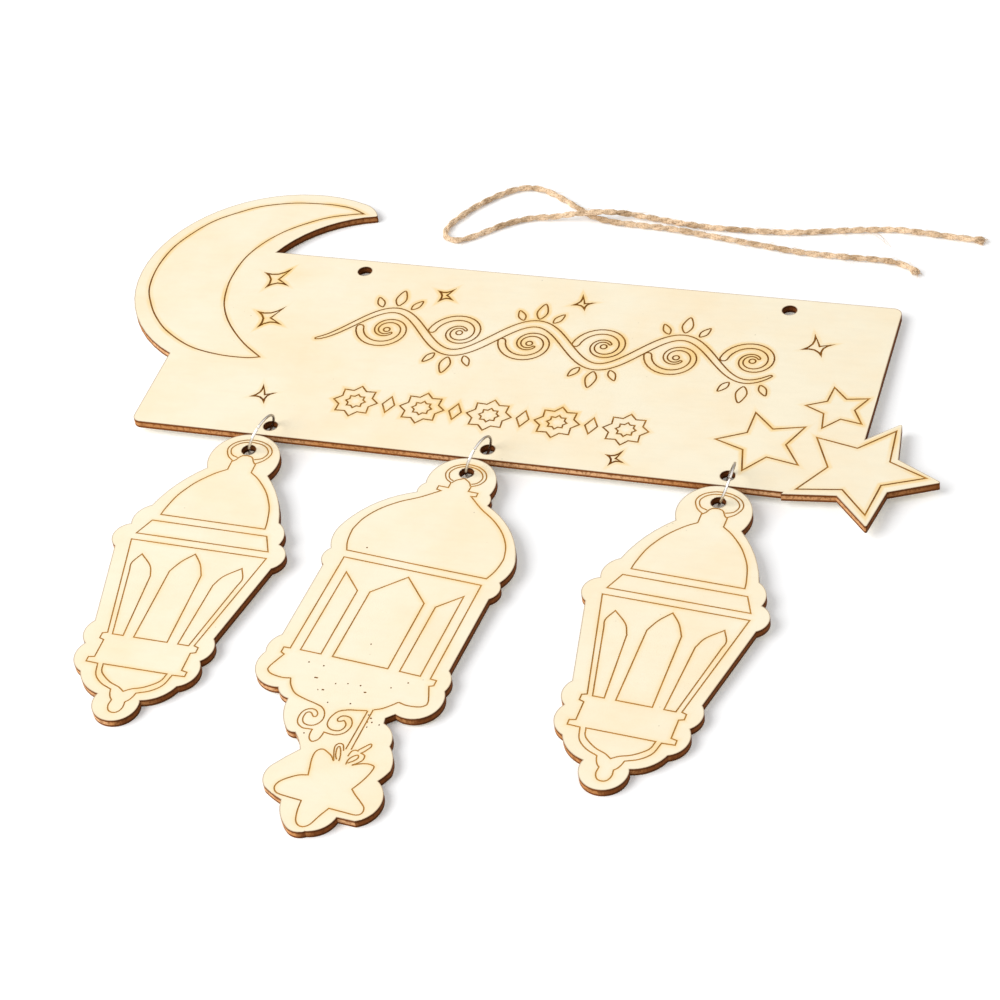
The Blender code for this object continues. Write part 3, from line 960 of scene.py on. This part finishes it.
def ramp(tree, source, stops, place):
    """Return the colour that a ramp gives a socket. A stop is its position and its colour or grey."""
    node = node_of(tree, "ShaderNodeValToRGB", place, Fac=source)
    elements = node.color_ramp.elements
    while len(elements) < len(stops):
        elements.new(0.5)
    for element, (position, colour) in zip(elements, stops):
        element.position = position
        element.color = rgba(colour)
    return node.outputs["Color"]


def mix(tree, factor, first, second, place, blend="MIX"):
    """Return the mix of two colours. Each argument is a socket or a value."""
    node = node_of(tree, "ShaderNodeMix", place, data_type="RGBA", blend_type=blend)
    feed(tree, node.inputs[0], factor)
    for slot, value in ((node.inputs[6], first), (node.inputs[7], second)):
        feed(tree, slot, value if isinstance(value, bpy.types.NodeSocket) else rgba(value))
    return node.outputs[2]


def calculate(tree, operation, values, place, clamp=False):
    """Return the result of a math node. Each value is a socket or a number."""
    node = node_of(tree, "ShaderNodeMath", place, operation=operation, use_clamp=clamp)
    for slot, value in zip(node.inputs, values):
        feed(tree, slot, value)
    return node.outputs[0]


def bump(tree, height, strength, distance):
    """Return the normal of a rough surface. The distance is in metres."""
    values = {"Height": height, "Strength": strength, "Distance": distance}
    return node_of(tree, "ShaderNodeBump", (-250, -350), **values).outputs["Normal"]


def painted(paint):
    """Return the material that a function paints, made when it is first asked for."""
    name = paint.__name__
    if name not in bpy.data.materials:
        material = bpy.data.materials.new(name)
        material.use_nodes = True
        tree = material.node_tree
        paint(tree, tree.nodes["Principled BSDF"])
    return bpy.data.materials[name]


def wood_figure():
    """Return the node group that holds the sheet's pale figure: patches, grain streaks and flecks."""
    if "wood_figure" in bpy.data.node_groups:
        return bpy.data.node_groups["wood_figure"]
    tree = bpy.data.node_groups.new("wood_figure", "ShaderNodeTree")
    for name, way, kind in (
        ("Colour", "INPUT", "NodeSocketColor"),
        ("Warm", "INPUT", "NodeSocketColor"),
        ("Colour", "OUTPUT", "NodeSocketColor"),
        ("Height", "OUTPUT", "NodeSocketFloat"),
    ):
        tree.interface.new_socket(name, in_out=way, socket_type=kind)
    given = node_of(tree, "NodeGroupInput", (-1100, 0)).outputs
    where = on_object(tree, (-1100, -300))
    patches = noise(tree, where, (-800, 300), scale=30.0, detail=6.0, roughness=0.62)
    warm = ramp(tree, patches, ((0.40, 0.0), (0.72, 1.0)), (-600, 300))
    tone = mix(tree, warm, given["Colour"], given["Warm"], (-250, 300))
    drawn_out = node_of(tree, "ShaderNodeMapping", (-900, -200), Vector=where, Scale=(90.0, 420.0, 90.0))
    along = drawn_out.outputs["Vector"]
    grain = noise(tree, along, (-700, -200), scale=1.0, detail=4.0, roughness=0.6)
    streaks = ramp(tree, grain, ((0.35, 0.98), (0.6, 1.0)), (-500, -200))
    tone = mix(tree, 1.0, tone, streaks, (0, 200), "MULTIPLY")
    cells = node_of(tree, "ShaderNodeTexVoronoi", (-700, -500), Vector=where, Scale=260.0)
    fleck = ramp(tree, cells.outputs["Distance"], ((0.035, 0.72), (0.085, 1.0)), (-500, -500))
    rare = noise(tree, where, (-700, -750), scale=45.0, detail=1.0)
    seldom = ramp(tree, rare, ((0.55, 0.0), (0.66, 1.0)), (-500, -750))
    spot = mix(tree, seldom, 1.0, fleck, (-200, -500))
    tone = mix(tree, 1.0, tone, spot, (250, 100), "MULTIPLY")
    node_of(tree, "NodeGroupOutput", (900, 0), Colour=tone, Height=grain)
    return tree


def plywood_face(tree, shader):
    """Paint the sanded face, with a faint scorch beside the burnt lines and a dark rim at the cuts."""
    wood = bpy.context.scene.ornament_plywood
    colours = {"Colour": rgba(wood.face), "Warm": rgba(wood.face_warm)}
    figure = node_of(tree, "ShaderNodeGroup", (-700, 0), node_tree=wood_figure(), **colours).outputs
    stops = ((0.0, 0.0), (0.2, 0.10), (0.4, 0.34), (0.8, 0.5), (1.0, 0.75))
    haze = ramp(tree, level_of(tree, "scorch", (-900, -300)), stops, (-700, -300))
    drift = noise(tree, on_object(tree, (-1100, -600)), (-900, -600), scale=70.0, detail=3.0)
    uneven = ramp(tree, drift, ((0.38, 0.3), (0.62, 1.25)), (-700, -600))
    haze = mix(tree, 1.0, haze, uneven, (-450, -300), "MULTIPLY")
    tone = mix(tree, haze, figure["Colour"], wood.haze, (-300, 0))
    stops = ((0.0, 0.0), (0.4, 0.25), (1.0, 1.0))
    beside = ramp(tree, level_of(tree, "rim", (-900, 300)), stops, (-700, 300))
    tone = mix(tree, beside, tone, wood.rim, (-150, 0))
    normal = bump(tree, figure["Height"], strength=0.05, distance=0.0001)
    set_node(tree, shader, Base_Color=tone, Roughness=0.7, Specular_IOR_Level=0.15, Normal=normal)


def burnt_line(tree, shader):
    """Paint the inside of a burnt line: darker where the laser burnt more."""
    wood = bpy.context.scene.ornament_plywood
    where = on_object(tree, (-1100, 0))
    grains = noise(tree, where, (-900, 0), scale=120.0, detail=6.0, roughness=0.65)
    shift = ramp(tree, grains, ((0.35, 0.0), (0.65, 0.4)), (-700, 0))
    burn = level_of(tree, "scorch", (-900, -300))
    level = calculate(tree, "SUBTRACT", (burn, shift), (-400, -200), clamp=True)
    tone = mix(tree, level, wood.line_light, wood.line, (-200, 0))
    normal = bump(tree, grains, strength=0.2, distance=0.0001)
    set_node(tree, shader, Base_Color=tone, Roughness=0.95, Specular_IOR_Level=0.05, Normal=normal)


def charred_edge(tree, shader):
    """Paint the laser-cut edge: char above and below a lighter, streaked middle, darkened by painted shade."""
    wood = bpy.context.scene.ornament_plywood
    where = on_object(tree, (-1300, 0))
    values = {"Vector": where, "Scale": (1100.0, 1100.0, 700.0), "Rotation": (0.6, 0.6, 0.0)}
    upright = node_of(tree, "ShaderNodeMapping", (-1100, 0), **values).outputs["Vector"]
    streaks = noise(tree, upright, (-900, 0), scale=1.0, detail=4.0, roughness=0.6)
    level = level_of(tree, "depth", (-1100, -400))
    wobble = calculate(tree, "MULTIPLY_ADD", (streaks, 0.16, level), (-700, -400))
    stops = ((0.29, 0.0), (0.41, 0.85), (0.50, 1.0), (0.55, 0.75), (0.60, 1.0), (0.75, 0.95), (0.85, 0.05),
             (1.0, 0.0))
    bands = ramp(tree, wobble, stops, (-500, -400))
    contrast = ramp(tree, streaks, ((0.36, 0.4), (0.5, 0.95), (0.64, 1.2)), (-600, 0))
    burn = mix(tree, 1.0, bands, contrast, (-300, -200), "MULTIPLY")
    # Painted shade: smoke holds the level that darkens right-facing cut faces and hole walls; the noise adds real
    # sooty patches
    smoke = level_of(tree, "shade_and_soot", (-900, 300))
    drift = noise(tree, where, (-900, 600), scale=22.0, detail=2.0)
    patchy = ramp(tree, drift, ((0.42, 0.0), (0.72, 0.6)), (-700, 600))
    shade_and_soot_level = calculate(tree, "ADD", (smoke, patchy), (-500, 400), clamp=True)
    stops = ((0.0, wood.core_light), (0.3, wood.core), (1.0, wood.shade_and_soot))
    middle = ramp(tree, shade_and_soot_level, stops, (-300, 400))
    shaded_char = [part * 0.45 for part in wood.char]
    char = mix(tree, smoke, wood.char, shaded_char, (-300, 200))
    tone = mix(tree, burn, char, middle, (-150, 0))
    normal = bump(tree, streaks, strength=0.3, distance=0.0002)
    set_node(tree, shader, Base_Color=tone, Roughness=0.85, Specular_IOR_Level=0.1, Normal=normal)


def nickel_plate(tree, shader):
    """Paint the plated wire: a painted highlight along its middle, painted shade towards its sides."""
    colour = bpy.context.scene.ornament_wire.colour
    painted_highlight = [min(1.0, part + 0.58) for part in colour]
    # Painted highlight and shade: bright where the wire faces the view, the plating colour at its sides
    side = node_of(tree, "ShaderNodeLayerWeight", (-700, 300), Blend=0.5)
    stops = ((0.0, painted_highlight), (0.14, painted_highlight), (0.38, colour), (0.8, colour), (1.0, 0.6))
    tone = ramp(tree, side.outputs["Facing"], stops, (-450, 100))
    rub = noise(tree, on_object(tree, (-900, 0)), (-700, 0), scale=1400.0, detail=4.0)
    gloss = ramp(tree, rub, ((0.3, 0.24), (0.7, 0.10)), (-450, -250))
    normal = bump(tree, rub, strength=0.08, distance=0.00005)
    set_node(tree, shader, Base_Color=tone, Roughness=gloss, Metallic=1.0, Normal=normal)


def jute_fibre(tree, shader):
    """Paint the twine: fibres in mixed straw and brown."""
    colour = bpy.context.scene.ornament_twine.colour
    pale = [min(1.0, part * 1.25) for part in colour]
    dark = [part * part * 0.75 for part in colour]
    where = on_object(tree, (-1100, 0))
    fibre = noise(tree, where, (-900, 0), scale=1500.0, detail=4.0, roughness=0.7)
    tone = ramp(tree, fibre, ((0.34, dark), (0.46, colour), (0.64, pale)), (-600, 0))
    slow = noise(tree, where, (-900, -300), scale=170.0, detail=4.0)
    shift = ramp(tree, slow, ((0.36, (0.72, 0.66, 0.58)), (0.60, 1.12)), (-600, -300))
    tone = mix(tree, 1.0, tone, shift, (-300, 0), "MULTIPLY")
    normal = bump(tree, fibre, strength=0.4, distance=0.0001)
    set_node(tree, shader, Base_Color=tone, Roughness=0.8, Specular_IOR_Level=0.2, Normal=normal)


def seen_directly(tree):
    """Return a socket that is 1 for camera, mirror and glass rays."""
    rays = node_of(tree, "ShaderNodeLightPath", (-900, 300)).outputs
    total = rays["Is Camera Ray"]
    for name in ("Is Glossy Ray", "Is Transmission Ray"):
        total = calculate(tree, "MAXIMUM", (total, rays[name]), (-600, 300))
    return total


def pale_table(tree, shader):
    """Paint the table top, which is lifted to white where it is seen and nothing shades it."""
    stage = bpy.context.scene.ornament_stage
    lift = calculate(tree, "MULTIPLY", (seen_directly(tree), stage.table_lift), (-300, 300))
    set_node(tree, shader, Base_Color=rgba(stage.table), Roughness=0.9, Specular_IOR_Level=0.0)
    set_node(tree, shader, Emission_Color=rgba(1.0), Emission_Strength=lift)


# Twine


def route_points(count):
    """Return evenly spaced points on the smooth curve through the twine's route, and its length."""
    corner = table_corner()
    knots = run_out([Vector(point) + corner for point in CORD_ROUTE])
    fine = []
    for a, b, c, d in zip(knots, knots[1:], knots[2:], knots[3:]):
        fine += [between(a, b, c, d, k / ROUTE_PARTS) for k in range(ROUTE_PARTS)]
    fine.append(knots[-2])
    walked = [0.0]
    for p, q in zip(fine, fine[1:]):
        walked.append(walked[-1] + (q - p).length)
    points, place = [], 0
    for k in range(count):
        goal = walked[-1] * k / (count - 1)
        while place < len(fine) - 2 and walked[place + 1] < goal:
            place += 1
        share = (goal - walked[place]) / (walked[place + 1] - walked[place])
        points.append(fine[place].lerp(fine[place + 1], min(share, 1.0)))
    return points, walked[-1]


def frames_along(points):
    """Return the way ahead, the level side and the upward way at each point of a line."""
    frames = []
    for k in range(len(points)):
        ahead = (points[min(k + 1, len(points) - 1)] - points[max(k - 1, 0)]).normalized()
        side = ahead.cross(Vector((0, 0, 1))).normalized()
        frames.append((ahead, side, side.cross(ahead)))
    return frames


def outwards(side, up, angle):
    """Return the way out of a line at an angle round it."""
    return side * math.cos(angle) + up * math.sin(angle)


def wander(level, low, high, pull, rng):
    """Return a level that is drawn a little towards a random one."""
    return level + (rng.uniform(low, high) - level) * pull


def tubes(name, lines, radii, roundness):
    """Make one mesh of closed tubes along lines, with a radius at each point."""
    curve = bpy.data.curves.new(name, "CURVE")
    curve.dimensions = "3D"
    curve.bevel_depth = 1.0
    curve.bevel_resolution = roundness
    curve.use_fill_caps = True
    for line, widths in zip(lines, radii):
        spline = curve.splines.new("POLY")
        spline.points.add(len(line) - 1)
        spline.points.foreach_set("co", [part for point in line for part in (*point, 1.0)])
        spline.points.foreach_set("radius", widths)
    rough = add_object(name, curve)
    mesh = bpy.data.meshes.new_from_object(rough.evaluated_get(bpy.context.evaluated_depsgraph_get()))
    bpy.data.objects.remove(rough)
    bpy.data.curves.remove(curve)
    mesh.name = name
    bm = bmesh.new()
    bm.from_mesh(mesh)
    bmesh.ops.remove_doubles(bm, verts=bm.verts, dist=0.000001)
    bmesh.ops.recalc_face_normals(bm, faces=bm.faces[:])
    bm.to_mesh(mesh)
    bm.free()
    mesh.shade_smooth()
    mesh.materials.clear()
    mesh.materials.append(painted(jute_fibre))
    thing = add_object(name, mesh)
    return thing


def strand_lines(points, length, twine, rng):
    """Return the middle lines and radii of the yarns: two strands of a core and six loose bundles."""
    radius = twine.diameter / 2
    thick = radius * STRAND_SHARE
    step = length / (len(points) - 1)
    frames = frames_along(points)
    strands_part, bundles_part, bundles_thin, turn_back = 0.9, 0.8, 0.35, 1.5
    turns, turn, pace = [], 0.0, 1.0
    for _ in points:
        pace = wander(pace, 0.45, 1.55, 0.05, rng)
        turn += 2 * math.pi * step / twine.lay * pace
        turns.append(turn)
    opening = [max(0.0, 1 - min(k, len(points) - 1 - k) * step / OPEN_END) for k in range(len(points))]
    lines, radii = [], []
    for strand in range(2):
        core = []
        for point, (_, side, up), turn, opened in zip(points, frames, turns, opening):
            reach = (radius - thick) * (1 + strands_part * opened)
            core.append(point + outwards(side, up, turn + math.pi * strand) * reach)
        lines.append(core)
        radii.append([thick * CORE_SHARE] * len(core))
        for bundle in range(BUNDLES):
            line, widths = [], []
            reach = fat = 1.0
            for point, (_, side, up), turn, opened in zip(core, frames, turns, opening):
                reach = wander(reach, 0.6, 1.3, 0.07, rng)
                fat = wander(fat, 0.55, 1.4, 0.09, rng)
                angle = -turn / turn_back + 2 * math.pi * bundle / BUNDLES
                out = thick * BUNDLE_REACH * reach * (1 + bundles_part * opened)
                line.append(point + outwards(side, up, angle) * out)
                widths.append(thick * BUNDLE_SHARE * fat * (1 - bundles_thin * opened))
            first, last = rng.randrange(4), rng.randrange(4)
            lines.append(line[first : len(line) - last])
            radii.append(widths[first : len(line) - last])
    return lines, radii


def stray_fibres(points, twine, rng):
    """Return thin curved lines that leave the twine, more of them at its ends."""
    frames = frames_along(points)
    end = len(points) - 1
    parts = len(FIBRE_RADII) - 1
    sag = Vector((0, 0, 0.07))
    lines = []
    places = [rng.randrange(2, end - 1) for _ in range(twine.fibres)]
    for place in places + [0] * END_FIBRES + [end] * END_FIBRES:
        ahead, side, up = frames[place]
        if place in (0, end):
            outward = ahead * (-1 if place == 0 else 1)
            depth, longest = 0.2, 0.0020
        else:
            outward = ahead * rng.choice((-1, 1))
            depth, longest = 0.42, 0.0045
        away = outwards(side, up, rng.uniform(-0.3, math.pi + 0.3))
        point = points[place] + away * twine.diameter * depth
        length = rng.uniform(0.0008, longest)
        way = (outward * rng.uniform(0.6, 1.0) + away * rng.uniform(0.15, 0.6)).normalized()
        curl = Vector([rng.uniform(-1, 1) for _ in range(3)]) * rng.uniform(0.1, 0.7)
        line = [point]
        for _ in range(parts):
            way = (way + curl / parts - sag).normalized()
            step = line[-1] + way * length / parts
            step.z = max(step.z, FIBRE_FLOOR)
            line.append(step)
        lines.append(line)
    return lines, [FIBRE_RADII] * len(lines)


def loose_hairs(points):
    """Return the long hairs that spring from the twine near its free end."""
    root = points[int(len(points) * HAIR_ROOT)]
    run, fall, rise, parts = 0.0108, 0.0082, 0.0004, 14
    lines = []
    for bend, reach in ((0.0010, 1.0), (0.0016, 0.8), (0.0003, 0.9)):
        line = []
        for k in range(parts + 1):
            t = k / parts
            across = bend * math.sin(math.pi * t)
            away = Vector((run * t + across, across - fall * t, rise * math.sin(3 * t)))
            line.append(root + away * reach)
        lines.append(line)
    return lines, [[HAIR_RADIUS] * len(line) for line in lines]


# Operators


class ORNAMENT_OT_plaque(bpy.types.Operator):
    """Engrave the plaque with the crescent, the stars, the sparkles and the vine"""

    bl_idname = "ornament.plaque"
    bl_label = "Engraved Plaque"

    def execute(self, context):
        width = context.scene.ornament_engraving.line_width
        strokes = crescent() + stars() + vine() + star_row()
        passes = [
            Pass(strokes, width, LINE_STRENGTH, hazy=True),
            Pass(sparkles(), width * SPARKLE_SHARE, FULL_STRENGTH, hazy=True),
        ]
        board = carve_board("engraved_plaque", "plaque", plaque_place(), passes)
        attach(board, "plaque")
        return {"FINISHED"}


class ORNAMENT_OT_lanterns(bpy.types.Operator):
    """Engrave the three lanterns"""

    bl_idname = "ornament.lanterns"
    bl_label = "Engraved Lanterns"

    def execute(self, context):
        width = context.scene.ornament_engraving.faint_width
        for side in LANTERN_TURNS:
            strokes = middle_lantern_drawing() if side == "middle" else side_lantern_drawing()
            passes = [Pass(strokes, width, FAINT_STRENGTH, hazy=True)]
            if side == "middle":
                passes.append(Pass(burn_specks(), SPECK_WIDTH, FULL_STRENGTH, hazy=False))
            node = side + "_lantern"
            board = carve_board("engraved_" + node, node, lantern_place(side), passes)
            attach(board, side + "_pendant")
        return {"FINISHED"}


class ORNAMENT_OT_rings(bpy.types.Operator):
    """Plate the jump rings"""

    bl_idname = "ornament.rings"
    bl_label = "Jump Rings"

    def execute(self, context):
        for side in LANTERN_TURNS:
            ring = frame["nodes"][side + "_jump_ring"]
            ring.data.materials.clear()
            ring.data.materials.append(painted(nickel_plate))
        return {"FINISHED"}


class ORNAMENT_OT_twine(bpy.types.Operator):
    """Twist the hanging twine and let some fibres stray"""

    bl_idname = "ornament.twine"
    bl_label = "Hanging Twine"

    def execute(self, context):
        twine = context.scene.ornament_twine
        rng = random.Random(7)
        points, length = route_points(TWINE_POINTS)
        lines, radii = strand_lines(points, length, twine, rng)
        cord = tubes("hanging_twine", lines, radii, roundness=1)
        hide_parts("hanging_cord")
        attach(cord, "plaque")
        hairs, widths = stray_fibres(points, twine, rng)
        long_hairs, long_widths = loose_hairs(points)
        fibres = tubes("twine_fibres", hairs + long_hairs, widths + long_widths, roundness=0)
        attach(fibres, "plaque")
        return {"FINISHED"}


class ORNAMENT_OT_stage(bpy.types.Operator):
    """Lay the table, light it softly from the left and set the camera"""

    bl_idname = "ornament.stage"
    bl_label = "Stage"

    def execute(self, context):
        stage = context.scene.ornament_stage
        corner = table_corner()
        lay_table()
        light_world(stage.sky)
        lamp = bpy.data.lights.new("key_light", "AREA")
        lamp.shape = "SQUARE"
        lamp.size = LAMP_SIZE
        lamp.energy = stage.key_power
        key = add_object("key_light", lamp)
        key.location = LAMP_PLACE
        key.rotation_euler = (-key.location).to_track_quat("-Z", "Y").to_euler()

        lens = bpy.data.cameras.new("camera")
        lens.lens = CAMERA_LENS
        lens.sensor_width = SENSOR_WIDTH
        lens.clip_end = VIEW_DEPTH
        camera = add_object("camera", lens)
        camera.location = Vector(CAMERA_PLACE) + Vector((corner.x, corner.y, 0))
        camera.rotation_euler = [math.radians(turn) for turn in CAMERA_TURN]
        context.scene.camera = camera
        context.scene.view_settings.view_transform = "Standard"
        return {"FINISHED"}


def lay_table():
    """Make the pale table top below everything."""
    bm = bmesh.new()
    bmesh.ops.create_grid(bm, x_segments=1, y_segments=1, size=TABLE_REACH)
    mesh = bpy.data.meshes.new("table_top")
    bm.to_mesh(mesh)
    bm.free()
    mesh.materials.append(painted(pale_table))
    add_object("table_top", mesh)


def light_world(strength):
    """Light the scene evenly from all round, and show white where the world is seen."""
    world = bpy.data.worlds.new("soft_room")
    world.use_nodes = True
    tree = world.node_tree
    values = {"Value": seen_directly(tree), "To Min": strength, "To Max": 1.0}
    level = node_of(tree, "ShaderNodeMapRange", (-300, 0), **values).outputs["Result"]
    set_node(tree, tree.nodes["Background"], Color=rgba(1.0), Strength=level)
    bpy.context.scene.world = world


class ORNAMENT_PT_panel(bpy.types.Panel):
    """Sizes, colours and steps of the hanging ornament"""

    bl_label = "Plywood Ornament"
    bl_idname = "ORNAMENT_PT_panel"
    bl_space_type = "VIEW_3D"
    bl_region_type = "UI"
    bl_category = "Ornament"

    def draw(self, context):
        for group, kind in SETTINGS.items():
            box = self.layout.box()
            for name in kind.__annotations__:
                box.prop(getattr(context.scene, "ornament_" + group), name)
        for step in STEPS:
            self.layout.operator("ornament." + step)


STEPS = ("stage", "twine", "plaque", "lanterns", "rings")
SETTINGS = {
    "engraving": EngravingSettings,
    "plywood": PlywoodSettings,
    "twine": TwineSettings,
    "wire": WireSettings,
    "stage": StageSettings,
}
CLASSES = (
    *SETTINGS.values(),
    ORNAMENT_OT_plaque,
    ORNAMENT_OT_lanterns,
    ORNAMENT_OT_rings,
    ORNAMENT_OT_twine,
    ORNAMENT_OT_stage,
    ORNAMENT_PT_panel,
)


def register():
    """Register the settings, the operators and the panel."""
    for kind in CLASSES:
        bpy.utils.register_class(kind)
    for group, kind in SETTINGS.items():
        setattr(bpy.types.Scene, "ornament_" + group, bpy.props.PointerProperty(type=kind))


def unregister():
    """Take the settings, the operators and the panel away again."""
    for group in SETTINGS:
        delattr(bpy.types.Scene, "ornament_" + group)
    for kind in reversed(CLASSES):
        bpy.utils.unregister_class(kind)


def main():
    """Make every piece and the stage."""
    register()
    for step in STEPS:
        getattr(bpy.ops.ornament, step)()


if __name__ == "__main__":
    main()
